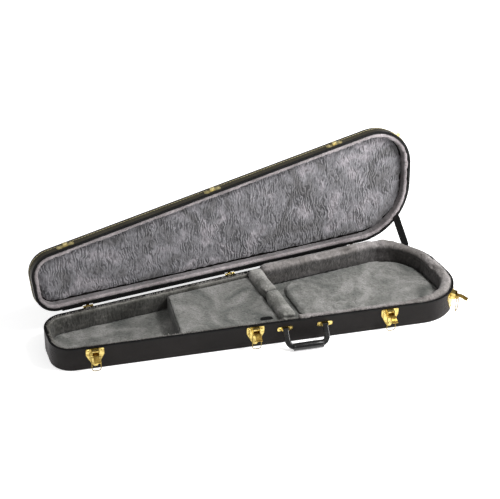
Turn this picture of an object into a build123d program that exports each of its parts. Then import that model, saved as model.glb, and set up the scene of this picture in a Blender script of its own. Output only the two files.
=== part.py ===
from build123d import *
import math
import os

# Hard case for a bass guitar, open, standing on its base. Millimetres, +Z up.
# +X runs along the case towards the wide body end, +Y towards the hinged back wall.
# The origin is on the underside, under the middle of the base's plan.

# --- shell -------------------------------------------------------------------------------
BACK_Y = 169.5           # outer face of the straight back wall
HEAD_X = -584.0          # front corner at the narrow end, before rounding
BODY_X = 585.5           # front corner at the wide end, before rounding
CORNERS = [(-572.0, BACK_Y), (571.0, BACK_Y), (BODY_X, -192.0), (HEAD_X, 5.0)]
CORNER_RADII = [62.0, 164.0, 118.0, 63.0]
RIM_Z = 70.0             # parting plane between base and lid
LID_DEPTH = 37.0
WALL = 7.0               # bent plywood with its vinyl cover
BOTTOM = 6.0
BINDING = 4.0            # height of the folded vinyl binding on each rim
RIM_CLEARANCE = 0.2      # each rim stands back this much from the parting plane
EDGE_ROUND = 3.5
FLANGE_X = (-505.0, 368.0)    # the lid's binding stands out behind, between the hinges
FLANGE_OUT = 3.2
BAND_THICKNESS = 0.8     # stitched strip round the lid's outer edge
BAND_LOW, BAND_HIGH = 91.0, 98.5

# --- lid hinges --------------------------------------------------------------------------
HINGE_Y = BACK_Y + 5.3
LID_OPEN = 98.0          # degrees from closed
HINGE_X = [-432.0, -8.0, 385.0]
HINGE_WIDTH = 28.0
HINGE_RIVET_X = [-8.0, 8.0]
KNUCKLE_RADIUS = 3.0
PIN_RADIUS = 1.5
PIN_CLEARANCE = 0.08
KNUCKLE_GAP = 0.3
LEAF = 1.2
LEAF_REACH = 20.5        # how far a leaf runs from the pin along the wall
LEAF_RIVET = 14.0        # from the pin to the leaf's rivets

# --- lining and padding ------------------------------------------------------------------
GLUE_GAP = 0.3
LINING = 16.0            # inset of the lining's inner face from the outer wall
LID_LINING = 17.0
LINING_TOP = RIM_Z - 2.0
FLOOR_TOP = 11.0
HEAD_PAD = 20.0          # inset of the pad at the narrow end
BOX_END_X = 42.0         # right side of the accessory box
BOLSTER_X = (43.0, 78.0)
BOLSTER_TOP = 86.0
BOLSTER_GAP_Y = (34.0, 40.0)
ROLL_INSET = 18.5        # above the rim the padding keeps inside the lid's lining
ROLL_TOP = 80.0
CAVITY_X = 79.0
CAVITY_BACK_Y = 139.5
CAVITY_END_X = (537.0, 551.5)
CAVITY_FRONT_INSET = 20.0
CAVITY_RADII = (134.0, 95.0)
FOAM_TOP = 24.0
PAD_TOP = 33.0
PAD_START_X = 114.0
PAD_CORNER = 75.0
LID_PAD = 9.0

# --- accessory box -----------------------------------------------------------------------
BOX_LEFT_X = -226.0      # left side of the box, on the line Y = BOX_LEFT_Y
BOX_LEFT_Y = 50.0
BOX_PANEL = 6.0
BOX_TOP = 56.0
BOX_LID = (56.5, 61.5)
BOX_LID_INSET = 17.0
TAB_SIZE = (40.0, 15.0, 2.0)
TAB_CENTRE = (3.0, -57.0)

# --- latches -----------------------------------------------------------------------------
LATCH_X = [-475.0, -42.0, 337.4]
LATCH_4_ANGLE = 42.4     # direction of the fourth latch on the front corner at the wide end
PLATE = 1.4
PLATE_TOP, PLATE_LOW = 67.0, 10.0
PLATE_WIDTH, TIP_RADIUS = 49.0, 10.0
PLATE_SHOULDER = 20.0    # height of the plate's full-width part
PLATE_CORNER = 3.5
LATCH_RIVETS = [(-18.5, 60.0), (18.5, 60.0), (0.0, 17.0)]    # along the wall, height
PIVOT_OUT, PIVOT_Z = 10.0, 53.0
EAR_X = (8.6, 10.1)
EAR_OUT = 15.0
EAR_Z = (46.5, 66.0)
PIN_HEAD = 0.4           # how far the lever's pin stands out of the ears
LEVER_HALF = 8.3
LEVER_SHEET = 1.3
LEVER_CURVE = [(-3.5, 3.6), (10.0, 4.6), (24.0, 3.2), (34.0, -1.2), (38.0, -1.0)]   # out, up
BAIL_ARM = 9.0           # from the lever's pivot to the bail's ends
BAIL_LENGTH = 46.0
BAIL_WIRE = 1.2
BAIL_HALF = (12.4, 12.0)
RIVET_RADIUS, RIVET_HEIGHT = 2.8, 1.7
CATCH_Z = 82.5
CATCH_SPAN = 34.0
CATCH_LOBE = 8.0
CATCH_NECK = 11.0        # height of the plate between its lobes
HOOK_HALF, HOOK_OUT, HOOK_SHEET = 6.0, 8.5, 1.5
HOOK_Z = (79.5, 88.0)

# --- handle ------------------------------------------------------------------------------
HANDLE_X = 96.0
HANDLE_SPAN = 112.6      # between the two brackets, along the wall
HANDLE_PIVOT = (6.0, 48.0)    # out from the wall, height
GRIP_CENTRE = (41.0, 11.5)    # out from the wall, height, with the handle folded down
GRIP_RADIUS, GRIP_LENGTH = 11.0, 84.0
BOW_SECTION = (15.6, 9.0)
BOW_ROUND = 4.0
BOW_CORNER = 22.0
BRACKET_SIZE = (44.0, 13.0)
BRACKET_SHEET = 1.5
BRACKET_EAR = 8.3        # from the bow's middle to each ear
BRACKET_SCREW = 15.5     # from the bow's middle to each screw
BOSS_RADIUS, BOSS_HALF = 4.0, 7.9
HANDLE_PIN = 2.0

# --- stay strap --------------------------------------------------------------------------
STRAP_WIDTH, STRAP_THICKNESS = 23.0, 1.6
STRAP_ANGLE = 42.5       # where it leaves the rounded back corner, measured from +X
STRAP_INSET = 8.5
STRAP_STANDOFF = 7.0     # its ends start this far from the parting plane
STRAP_FACE = (0.81, -0.36, 0.46)   # direction of its width
ANCHOR_RADIUS, ANCHOR_HEIGHT = 5.0, 2.4
ANCHOR_DEPTH = 10.0      # from the parting plane to the anchors' centres

HEAD = Vector(*CORNERS[3])
FRONT_RUN = Vector(*CORNERS[2]) - HEAD
FRONT_SLOPE = math.degrees(math.atan2(FRONT_RUN.Y, FRONT_RUN.X))
HINGE_LINE = Axis((0, HINGE_Y, RIM_Z), (1, 0, 0))
PARTS = {}


# --- helpers -----------------------------------------------------------------------------
def rounded(corners, radii):
    """A flat face with the given corners, each rounded to its own radius."""
    face = make_face(Polyline(*corners, close=True))
    for corner, radius in zip(corners, radii):
        if radius:
            face = fillet(face.vertices().sort_by_distance((*corner, 0))[0], radius)
    return face


OUTLINE = rounded(CORNERS, CORNER_RADII)


def slab(inset, low, high):
    """The case's plan, moved in by inset, between two heights."""
    face = offset(OUTLINE, amount=-inset) if inset else OUTLINE
    return Pos(0, 0, low) * extrude(face, high - low)


def ring(outer, inner, low, high):
    return slab(outer, low, high) - slab(inner, low, high)


def span(low, high):
    """A box between two opposite corners."""
    size = [abs(b - a) for a, b in zip(low, high)]
    middle = [(a + b) / 2 for a, b in zip(low, high)]
    return Pos(*middle) * Box(*size)


def between_x(low, high):
    return span((low, -400, -50), (high, 400, 400))


def front_y(x, inset=0.0):
    """The front wall's Y at a given X, inset from its outer face."""
    slope = math.radians(FRONT_SLOPE)
    return HEAD.Y + (x - HEAD.X) * math.tan(slope) + inset / math.cos(slope)


def front_spot(x, along=0.0):
    """A place on the front wall's outer face: X along the wall, -Y outward."""
    x = x + along * math.cos(math.radians(FRONT_SLOPE))
    return Location((x, front_y(x), 0), (0, 0, FRONT_SLOPE))


def corner_centre(number):
    """Centre of a rounded corner of the plan."""
    corner = Vector(*CORNERS[number])
    before = (Vector(*CORNERS[number - 1]) - corner).normalized()
    after = (Vector(*CORNERS[(number + 1) % 4]) - corner).normalized()
    half = math.radians(before.get_angle(after)) / 2
    return corner + (before + after).normalized() * (CORNER_RADII[number] / math.sin(half))


def corner_spot(number, angle, along=0.0):
    """A place on a rounded corner's outer face: angle 0 faces -Y and 90 faces +X."""
    radius = CORNER_RADII[number]
    turn = math.radians(angle) + along / radius
    place = corner_centre(number) + Vector(math.sin(turn), -math.cos(turn)) * radius
    return Location((place.X, place.Y, 0), (0, 0, math.degrees(turn)))


def latch_spot(number, along=0.0):
    if number < 4:
        return front_spot(LATCH_X[number - 1], along)
    return corner_spot(2, LATCH_4_ANGLE, along)


def opened(part):
    """Turn a piece of the closed lid to where it stands with the lid open."""
    return part.rotate(HINGE_LINE, -LID_OPEN)


def rod(start, end, radius):
    """A round bar between two points."""
    line = Vector(*end) - Vector(*start)
    return Plane(origin=start, z_dir=line) * Cylinder(
        radius, line.length, align=(Align.CENTER, Align.CENTER, Align.MIN)
    )


def rivet(out, height):
    """A domed head that stands on a surface `out` from the wall."""
    dome_radius = (RIVET_RADIUS**2 + RIVET_HEIGHT**2) / (2 * RIVET_HEIGHT)
    dome = Pos(0, -(out + RIVET_HEIGHT - dome_radius), height) * Sphere(dome_radius)
    return dome & span((-10, -out - 10, height - 10), (10, -out, height + 10))


# --- base shell --------------------------------------------------------------------------
def base_shell():
    wall = ring(0, WALL, 0, RIM_Z - BINDING)
    outer = wall.faces().sort_by(Axis.Z)[0].outer_wire().edges()
    PARTS["base_wall"] = fillet(outer, EDGE_ROUND)
    PARTS["base_bottom"] = slab(WALL, 0, BOTTOM)
    PARTS["base_rim_binding"] = ring(0, WALL, RIM_Z - BINDING, RIM_Z - RIM_CLEARANCE)


# --- lid shell ---------------------------------------------------------------------------
def lid_shell():
    top = RIM_Z + LID_DEPTH
    wall_top = top - BOTTOM
    panel = slab(0, wall_top, top)
    panel = fillet(panel.faces().sort_by(Axis.Z)[-1].edges(), EDGE_ROUND)
    PARTS["lid_panel"] = opened(panel)
    PARTS["lid_wall"] = opened(ring(0, WALL, RIM_Z + BINDING, wall_top))
    binding = ring(0, WALL, RIM_Z + RIM_CLEARANCE, RIM_Z + BINDING)
    flange = span(
        (FLANGE_X[0], BACK_Y - 1, RIM_Z + RIM_CLEARANCE),
        (FLANGE_X[1], BACK_Y + FLANGE_OUT, RIM_Z + BINDING),
    )
    for x in HINGE_X:
        flange = flange - between_x(x - HINGE_WIDTH / 2 - 1, x + HINGE_WIDTH / 2 + 1)
    PARTS["lid_rim_binding"] = opened(binding + flange)
    PARTS["lid_edge_band"] = opened(ring(-BAND_THICKNESS, 0, BAND_LOW, BAND_HIGH))


# --- lining and padding ------------------------------------------------------------------
def cavity(clear, start_x, low, high, corner=0.0):
    """The body recess inside its wall padding, kept `clear` of that padding."""
    front = CAVITY_FRONT_INSET + clear
    back_y = CAVITY_BACK_Y - clear
    end_back, end_front = (x - clear for x in CAVITY_END_X)
    corners = [
        (start_x, back_y),
        (end_back, back_y),
        (end_front, front_y(end_front, front)),
        (start_x, front_y(start_x, front)),
    ]
    face = rounded(corners, [corner, CAVITY_RADII[0] - clear, CAVITY_RADII[1] - clear, 0])
    return Pos(0, 0, low) * extrude(face, high - low)


def base_padding():
    floor = FLOOR_TOP + GLUE_GAP
    glued = WALL + GLUE_GAP
    PARTS["base_floor_lining"] = slab(glued, BOTTOM, FLOOR_TOP)

    lining = ring(glued, LINING, floor, LINING_TOP)
    end_pad = slab(glued, floor, LINING_TOP) & between_x(-700, HEAD_X + HEAD_PAD)
    PARTS["neck_wall_lining"] = (lining + end_pad) & between_x(-700, BOX_END_X)

    below_rim = slab(glued, floor, RIM_Z - 1) - cavity(0, CAVITY_X - 1, 0, 200)
    above_rim = slab(ROLL_INSET, RIM_Z - 1, ROLL_TOP) - cavity(0, CAVITY_X - 1, 0, 200)
    PARTS["body_wall_padding"] = (below_rim + above_rim) & between_x(CAVITY_X, 700)

    PARTS["body_floor_foam"] = cavity(0.5, CAVITY_X, floor, FOAM_TOP)
    PARTS["body_floor_pad"] = cavity(1.0, PAD_START_X, FOAM_TOP + GLUE_GAP, PAD_TOP, PAD_CORNER)

    block = slab(glued, floor, RIM_Z - 1) + slab(ROLL_INSET, RIM_Z - 1, BOLSTER_TOP)
    block = block & between_x(*BOLSTER_X)
    PARTS["neck_bolster_back"] = block & span((0, BOLSTER_GAP_Y[1], 0), (200, 300, 200))
    PARTS["neck_bolster_front"] = block & span((0, -300, 0), (200, BOLSTER_GAP_Y[0], 200))


def lid_padding():
    pad_top = RIM_Z + LID_DEPTH - BOTTOM - GLUE_GAP
    glued = WALL + GLUE_GAP
    lining = ring(glued, LID_LINING, RIM_Z + 1, pad_top)
    PARTS["lid_wall_lining"] = opened(lining)
    PARTS["lid_panel_padding"] = opened(slab(LID_LINING + GLUE_GAP, pad_top - LID_PAD, pad_top))


# --- accessory box -----------------------------------------------------------------------
def box_zone(low, high, left_shift=0.0, right=BOX_END_X):
    """Everything between the box's slanted left side and its right side."""
    zone = span((0, -300, low), (800, 300, high))
    zone = Pos(BOX_LEFT_X + left_shift, BOX_LEFT_Y, 0) * Rot(0, 0, FRONT_SLOPE) * zone
    return zone & between_x(-700, right)


def accessory_box():
    floor = FLOOR_TOP + GLUE_GAP
    inside = slab(LINING + GLUE_GAP, floor, BOX_TOP)
    left = box_zone(0, 200) - box_zone(-1, 201, BOX_PANEL)
    PARTS["box_partition_left"] = inside & left
    PARTS["box_partition_right"] = inside & between_x(BOX_END_X - BOX_PANEL, BOX_END_X)
    lid = slab(BOX_LID_INSET, *BOX_LID) & box_zone(0, 200, right=BOX_END_X - 1)
    PARTS["box_lid"] = lid
    tab = Pos(*TAB_CENTRE, BOX_LID[1] + TAB_SIZE[2] / 2) * Rot(0, 0, FRONT_SLOPE)
    PARTS["box_lid_tab"] = tab * Box(*TAB_SIZE)


# --- hinges ------------------------------------------------------------------------------
def hinge_leaf(x, side, knuckles):
    """One leaf, from the pin down (side -1) or up (side +1) the closed back wall."""
    far, near = LEAF_REACH, KNUCKLE_RADIUS + 1
    leaf = span(
        (x - HINGE_WIDTH / 2, BACK_Y, RIM_Z + side * near),
        (x + HINGE_WIDTH / 2, BACK_Y + LEAF, RIM_Z + side * far),
    )
    for low, high in knuckles:
        barrel = rod((x + low, HINGE_Y, RIM_Z), (x + high, HINGE_Y, RIM_Z), KNUCKLE_RADIUS)
        web = span(
            (x + low, BACK_Y, RIM_Z + side * near),
            (x + high, HINGE_Y, RIM_Z + side * (near + LEAF)),
        )
        wrap = span(
            (x + low, HINGE_Y - LEAF, RIM_Z),
            (x + high, HINGE_Y, RIM_Z + side * (near + LEAF)),
        )
        leaf = leaf + barrel + web + wrap
    bore = PIN_RADIUS + PIN_CLEARANCE
    return leaf - rod((x - 50, HINGE_Y, RIM_Z), (x + 50, HINGE_Y, RIM_Z), bore)


def hinges():
    half = HINGE_WIDTH / 2
    middle = half / 3
    outer_knuckles = [(-half, -middle - KNUCKLE_GAP), (middle + KNUCKLE_GAP, half)]
    base_leaves = [hinge_leaf(x, -1, outer_knuckles) for x in HINGE_X]
    lid_leaves = [opened(hinge_leaf(x, 1, [(-middle, middle)])) for x in HINGE_X]
    pins = [rod((x - half, HINGE_Y, RIM_Z), (x + half, HINGE_Y, RIM_Z), PIN_RADIUS) for x in HINGE_X]
    base_rivets, lid_rivets = [], []
    for x in HINGE_X:
        for across in HINGE_RIVET_X:
            wall = Location((x + across, BACK_Y, 0), (0, 0, 180))
            base_rivets.append(wall * rivet(LEAF, RIM_Z - LEAF_RIVET))
            lid_rivets.append(opened(wall * rivet(LEAF, RIM_Z + LEAF_RIVET)))
    PARTS["hinge_base_leaves"] = Compound(base_leaves)
    PARTS["hinge_lid_leaves"] = Compound(lid_leaves)
    PARTS["hinge_pins"] = Compound(pins)
    PARTS["hinge_base_rivets"] = Compound(base_rivets)
    PARTS["hinge_lid_rivets"] = Compound(lid_rivets)


# --- latches -----------------------------------------------------------------------------
def out_of_wall(sketch, low, high):
    """Extrude an X-Z sketch from `low` to `high` out from the wall."""
    return Pos(0, -low, 0) * extrude(Plane.XZ * sketch, high - low)


def latch_plate(number):
    half = PLATE_WIDTH / 2
    shoulder = PLATE_TOP - PLATE_SHOULDER
    tip = PLATE_LOW + TIP_RADIUS
    shield = make_face(Polyline(
        (-half, PLATE_TOP), (half, PLATE_TOP), (half, shoulder), (TIP_RADIUS + 1, tip),
        (4, PLATE_LOW), (-4, PLATE_LOW), (-TIP_RADIUS - 1, tip), (-half, shoulder), close=True,
    ))
    shield = fillet(shield.vertices(), PLATE_CORNER)
    spot = latch_spot(number)
    skin = spot * out_of_wall(shield, -8, 5) & ring(-PLATE, 0, 0, RIM_Z)

    side = Pos(EAR_OUT / 2, sum(EAR_Z) / 2) * Rectangle(EAR_OUT, EAR_Z[1] - EAR_Z[0])
    side = fillet(side.vertices().group_by(Axis.X)[-1], 5)
    housing = span((-EAR_X[1], -11, EAR_Z[1] - 1.5), (EAR_X[1], -0.3, EAR_Z[1]))
    for low in (EAR_X[0], -EAR_X[1]):
        plane = Plane(origin=(low, 0, 0), x_dir=(0, -1, 0), z_dir=(-1, 0, 0))
        housing = housing + extrude(plane * side, EAR_X[0] - EAR_X[1])
    housing = housing & span((-20, -30, 0), (20, -0.3, 100))
    housing = housing - rod((-20, -PIVOT_OUT, PIVOT_Z), (20, -PIVOT_OUT, PIVOT_Z), PIN_RADIUS)
    return skin + spot * housing


def lever(number):
    """The leaf that is pulled down to lock the latch, sticking out from the wall."""
    plane = Plane(origin=(LEVER_HALF, -PIVOT_OUT, PIVOT_Z), x_dir=(0, -1, 0), z_dir=(-1, 0, 0))
    upper = Spline(*[(out, up + LEVER_SHEET / 2) for out, up in LEVER_CURVE])
    lower = Spline(*[(out, up - LEVER_SHEET / 2) for out, up in LEVER_CURVE])
    ends = [Line(upper @ 0, lower @ 0), Line(upper @ 1, lower @ 1)]
    leaf = extrude(plane * make_face([upper, lower, *ends]), 2 * LEVER_HALF)
    cheeks = []
    for start in (LEVER_HALF, LEVER_SHEET - LEVER_HALF):
        side = Plane(origin=(start, -PIVOT_OUT, PIVOT_Z), x_dir=(0, -1, 0), z_dir=(-1, 0, 0))
        outline = Pos(BAIL_ARM / 2, 0) * SlotOverall(BAIL_ARM + 7, 7)
        outline += Pos(BAIL_ARM / 2, 2.2) * Rectangle(BAIL_ARM + 6, 4)
        cheeks.append(extrude(side * outline, LEVER_SHEET))
    body = leaf + cheeks[0] + cheeks[1]
    pivot, arm = -PIVOT_OUT, -PIVOT_OUT - BAIL_ARM
    body = body - rod((-20, pivot, PIVOT_Z), (20, pivot, PIVOT_Z), PIN_RADIUS + PIN_CLEARANCE)
    body = body - rod((-20, arm, PIVOT_Z), (20, arm, PIVOT_Z), BAIL_WIRE + PIN_CLEARANCE)
    return latch_spot(number) * body


def bail(number):
    """The wire loop that hangs from the lever and hooks over the lid's catch."""
    top, low = PIVOT_Z, PIVOT_Z - BAIL_LENGTH
    inner = LEVER_HALF - LEVER_SHEET + 0.2
    wide, narrow = BAIL_HALF
    path = FilletPolyline(
        (-inner, top), (-wide, top), (-narrow, low), (narrow, low), (wide, top), (inner, top),
        radius=[1.6, 8, 8, 1.6],
    )
    path = Plane.XZ * path
    loop = sweep(Plane(path @ 0, z_dir=path % 0) * Circle(BAIL_WIRE), path=path)
    return latch_spot(number) * Pos(0, -PIVOT_OUT - BAIL_ARM, 0) * loop


def catch(number):
    """The hook plate on the lid, two round lobes with a raised hook between them."""
    lobe = Circle(CATCH_LOBE)
    face = Rectangle(CATCH_SPAN, CATCH_NECK) + Pos(-CATCH_SPAN / 2, 0) * lobe
    face = face + Pos(CATCH_SPAN / 2, 0) * lobe
    spot = latch_spot(number)
    lid_ring = ring(-PLATE, 0, RIM_Z, RIM_Z + LID_DEPTH)
    skin = spot * out_of_wall(Pos(0, CATCH_Z) * face, -8, 5) & lid_ring
    low, top = HOOK_Z
    shelf = span((-HOOK_HALF, -HOOK_OUT, low), (HOOK_HALF, -GLUE_GAP, low + HOOK_SHEET))
    lip = span((-HOOK_HALF, -HOOK_OUT, low), (HOOK_HALF, HOOK_SHEET - HOOK_OUT, top))
    return opened(skin + spot * (shelf + lip))


def latches():
    pins, rivets, catch_rivets = [], [], []
    half = EAR_X[1] + PIN_HEAD
    ends = [(-half, -PIVOT_OUT, PIVOT_Z), (half, -PIVOT_OUT, PIVOT_Z)]
    for number in (1, 2, 3, 4):
        PARTS[f"latch_plate_{number}"] = latch_plate(number)
        PARTS[f"latch_lever_{number}"] = lever(number)
        PARTS[f"latch_bail_{number}"] = bail(number)
        PARTS[f"lid_catch_{number}"] = catch(number)
        pins.append(latch_spot(number) * rod(*ends, PIN_RADIUS))
        for along, height in LATCH_RIVETS:
            rivets.append(latch_spot(number, along) * rivet(PLATE, height))
        for along in (-CATCH_SPAN / 2, CATCH_SPAN / 2):
            catch_rivets.append(opened(latch_spot(number, along) * rivet(PLATE, CATCH_Z)))
    PARTS["latch_pins"] = Compound(pins)
    PARTS["latch_rivets"] = Compound(rivets)
    PARTS["catch_rivets"] = Compound(catch_rivets)


# --- handle ------------------------------------------------------------------------------
def handle_frame():
    """Plane of the folded handle: X along the wall, Y from its pivots to the grip."""
    out, height = HANDLE_PIVOT
    run = Vector(0, out - GRIP_CENTRE[0], GRIP_CENTRE[1] - height)
    normal = Vector(1, 0, 0).cross(run)
    return Plane(origin=(0, -out, height), x_dir=(1, 0, 0), z_dir=normal), run.length


def bracket(along):
    width, height = BRACKET_SIZE
    out, pivot_z = HANDLE_PIVOT
    outline = Pos(0, pivot_z) * RectangleRounded(width, height, 5)
    body = out_of_wall(outline, 0, BRACKET_SHEET)
    for low in (-BRACKET_EAR - BRACKET_SHEET, BRACKET_EAR):
        high = low + BRACKET_SHEET
        ear = span((low, -out, pivot_z - BOSS_RADIUS), (high, -1, pivot_z + BOSS_RADIUS))
        body = body + ear + rod((low, -out, pivot_z), (high, -out, pivot_z), BOSS_RADIUS)
    body = body - rod((-20, -out, pivot_z), (20, -out, pivot_z), HANDLE_PIN)
    return front_spot(HANDLE_X, along) * body


def handle():
    frame, reach = handle_frame()
    half = HANDLE_SPAN / 2
    spot = front_spot(HANDLE_X)
    path = frame * FilletPolyline(
        (-half, 2), (-half, reach), (half, reach), (half, 2), radius=BOW_CORNER
    )
    section = Plane(path @ 0, x_dir=(1, 0, 0), z_dir=path % 0) * RectangleRounded(*BOW_SECTION, BOW_ROUND)
    bow = sweep(section, path=path)
    out, pivot_z = HANDLE_PIVOT
    for side in (-half, half):
        ends = [(side - BOSS_HALF, -out, pivot_z), (side + BOSS_HALF, -out, pivot_z)]
        bow = bow + rod(*ends, BOSS_RADIUS)
    bore = HANDLE_PIN + PIN_CLEARANCE
    bow = bow - rod((-half - 9, -out, pivot_z), (half + 9, -out, pivot_z), bore)
    grip_y, grip_z = -GRIP_CENTRE[0], GRIP_CENTRE[1]
    grip = rod((-GRIP_LENGTH / 2, grip_y, grip_z), (GRIP_LENGTH / 2, grip_y, grip_z), GRIP_RADIUS)
    grip = fillet(grip.edges().filter_by(GeomType.CIRCLE), 3)
    PARTS["handle_bow"] = spot * bow
    PARTS["handle_grip"] = spot * (grip - bow)

    pins, screws = [], []
    for side, name in ((-half, "left"), (half, "right")):
        PARTS[f"handle_bracket_{name}"] = bracket(side)
        reach_x = BRACKET_EAR + BRACKET_SHEET
        ends = [(-reach_x, -out, pivot_z), (reach_x, -out, pivot_z)]
        pins.append(front_spot(HANDLE_X, side) * rod(*ends, HANDLE_PIN))
        for across in (-BRACKET_SCREW, BRACKET_SCREW):
            screws.append(front_spot(HANDLE_X, side + across) * rivet(BRACKET_SHEET, pivot_z))
    PARTS["handle_pins"] = Compound(pins)
    PARTS["handle_screws"] = Compound(screws)


# --- stay strap --------------------------------------------------------------------------
def stay_strap():
    """A flat webbing strap, taut between the base's rim and the lid's."""
    spot = corner_spot(1, 90 + STRAP_ANGLE)
    inner = spot * Pos(0, STRAP_INSET, 0)
    low = (inner * Pos(0, 0, RIM_Z + STRAP_STANDOFF)).position
    high = opened(inner * Pos(0, 0, RIM_Z - STRAP_STANDOFF) * Sphere(1)).center()
    run = high - low
    PARTS["stay_strap"] = Plane(origin=(low + high) / 2, x_dir=STRAP_FACE, z_dir=run) * Box(
        STRAP_WIDTH, STRAP_THICKNESS, run.length
    )
    face = WALL + GLUE_GAP
    for name, side in (("base", -1), ("lid", 1)):
        height = RIM_Z + side * ANCHOR_DEPTH
        anchor = spot * rod((0, face, height), (0, face + ANCHOR_HEIGHT, height), ANCHOR_RADIUS)
        pocket = spot * rod((0, 0, height), (0, face + ANCHOR_HEIGHT + 1, height), ANCHOR_RADIUS + 1)
        if side > 0:
            anchor, pocket = opened(anchor), opened(pocket)
        skin = "body_wall_padding" if side < 0 else "lid_wall_lining"
        PARTS[skin] = PARTS[skin] - pocket
        PARTS[f"strap_anchor_{name}"] = anchor


def main():
    base_shell()
    lid_shell()
    base_padding()
    lid_padding()
    accessory_box()
    hinges()
    latches()
    handle()
    stay_strap()
    os.makedirs("parts", exist_ok=True)
    for name, part in PARTS.items():
        export_step(part, f"parts/{name}.step")
    print(len(PARTS), "nodes")


main()
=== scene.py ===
# %% [markdown]
# # A hard case for a bass guitar, lying open
# The CAD model says where every part is and how large it is. This scene gives the parts their
# looks: black vinyl, brass hardware, a black handle, webbing and a thick grey plush lining.
# Everything is in metres, in the CAD model's own frame: +X towards the wide end, +Y towards the
# hinges, +Z up.

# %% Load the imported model
import math
import random

import bpy
from mathutils import Matrix, Vector


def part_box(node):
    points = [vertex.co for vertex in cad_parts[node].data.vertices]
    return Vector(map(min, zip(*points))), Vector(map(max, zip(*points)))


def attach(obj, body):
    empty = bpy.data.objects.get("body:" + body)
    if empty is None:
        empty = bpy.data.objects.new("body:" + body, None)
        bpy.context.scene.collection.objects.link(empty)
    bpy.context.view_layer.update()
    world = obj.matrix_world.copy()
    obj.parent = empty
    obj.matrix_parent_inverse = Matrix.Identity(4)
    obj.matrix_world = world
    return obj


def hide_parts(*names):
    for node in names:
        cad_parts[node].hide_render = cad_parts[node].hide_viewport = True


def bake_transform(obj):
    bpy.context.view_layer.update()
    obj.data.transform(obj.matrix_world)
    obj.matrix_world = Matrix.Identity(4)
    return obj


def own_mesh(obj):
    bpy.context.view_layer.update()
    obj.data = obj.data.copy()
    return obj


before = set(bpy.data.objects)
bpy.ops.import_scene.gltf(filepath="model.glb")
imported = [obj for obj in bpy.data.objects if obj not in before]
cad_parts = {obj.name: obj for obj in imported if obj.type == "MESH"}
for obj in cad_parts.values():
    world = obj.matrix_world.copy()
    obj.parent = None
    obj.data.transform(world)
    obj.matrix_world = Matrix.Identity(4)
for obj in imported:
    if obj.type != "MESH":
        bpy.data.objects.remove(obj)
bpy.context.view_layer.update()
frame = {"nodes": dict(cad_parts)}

# %% [markdown]
# ## Camera, floor and light
# The case stands on a plain white floor. The light is a bright room with one large lamp at the
# front right and above, and a weaker lamp low at each side. A long lens far away keeps the
# case's parallel edges nearly parallel. The lamps are large, so that all shadows stay soft.

# %% Camera
CAMERA_PLACE = (-1.3177, -2.8865, 2.3042)
CAMERA_TURN = (57.13, -0.91, -23.55)    # degrees
FOCAL_LENGTH = 100.8                    # millimetres

bpy.ops.object.camera_add(location=CAMERA_PLACE)
camera = bpy.context.object
camera.rotation_euler = [math.radians(angle) for angle in CAMERA_TURN]
camera.data.lens = FOCAL_LENGTH
camera.data.sensor_width = 36.0
bpy.context.scene.camera = camera
print("camera", camera.location[:], "lens", camera.data.lens)

# %% Floor and light
FLOOR_SIZE = 30.0


def lamp(name, place, aim, size, power):
    """A square soft lamp at `place` that shines towards `aim`."""
    bpy.ops.object.light_add(type="AREA", location=place)
    light = bpy.context.object
    light.name = name
    light.data.size = size
    light.data.energy = power
    light.rotation_euler = (Vector(aim) - Vector(place)).to_track_quat("-Z", "Y").to_euler()
    return light


lamp("key_lamp", (1.5, -0.9, 2.4), (0.2, 0.1, 0.1), 0.8, 62)
lamp("left_lamp", (-2.4, -0.9, 0.9), (-0.4, 0.0, 0.1), 1.0, 7)
lamp("right_lamp", (2.5, -0.9, 0.8), (0.4, 0.0, 0.1), 1.0, 52)

bpy.ops.mesh.primitive_plane_add(size=FLOOR_SIZE)
floor = bpy.context.object
floor.name = "floor"

bpy.context.scene.view_settings.view_transform = "Standard"
print("floor", FLOOR_SIZE, "m across, three soft lamps")

# %% The room's light
# Bright above and dim at the sides, as under a large white ceiling: brass and vinyl then have
# something dark to reflect, and the padding's upright faces stay darker than its tops.
ROOM_LIGHT = [(0.0, 0.03), (0.5, 0.10), (0.72, 0.45), (1.0, 1.0)]

world = bpy.data.worlds.new("room")
bpy.context.scene.world = world
world.use_nodes = True
tree = world.node_tree
place = tree.nodes.new("ShaderNodeTexCoord")
parts = tree.nodes.new("ShaderNodeSeparateXYZ")
height = tree.nodes.new("ShaderNodeMapRange")
height.inputs["From Min"].default_value = -1.0
fade = tree.nodes.new("ShaderNodeValToRGB")
for number, (position, grey) in enumerate(ROOM_LIGHT):
    stop = fade.color_ramp.elements[number] if number < 2 else fade.color_ramp.elements.new(position)
    stop.position = position
    stop.color = (grey, grey, grey, 1.0)
tree.links.new(place.outputs["Generated"], parts.inputs["Vector"])
tree.links.new(parts.outputs["Z"], height.inputs["Value"])
tree.links.new(height.outputs["Result"], fade.inputs["Fac"])
tree.links.new(fade.outputs["Color"], tree.nodes["Background"].inputs["Color"])
tree.nodes["Background"].inputs["Strength"].default_value = 0.55
print("room light", ROOM_LIGHT)

# %% [markdown]
# ## Making materials
# Every finish below is a Principled shader with procedural patterns on the piece's own
# coordinates, in metres, so a pattern scale of 1000 gives a feature about a millimetre across.
# Small helpers keep the node trees readable: they start a material, stretch its coordinates,
# add a noise, cell or wave pattern, turn a pattern into colours or bumps, and mix colours.


# %% Material helpers
def start_material(name, coordinates="Object"):
    """A new material, its node tree, its shader and the coordinates its patterns read."""
    material = bpy.data.materials.new(name)
    material.use_nodes = True
    tree = material.node_tree
    place = tree.nodes.new("ShaderNodeTexCoord")
    return material, tree, tree.nodes["Principled BSDF"], place.outputs[coordinates]


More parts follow.
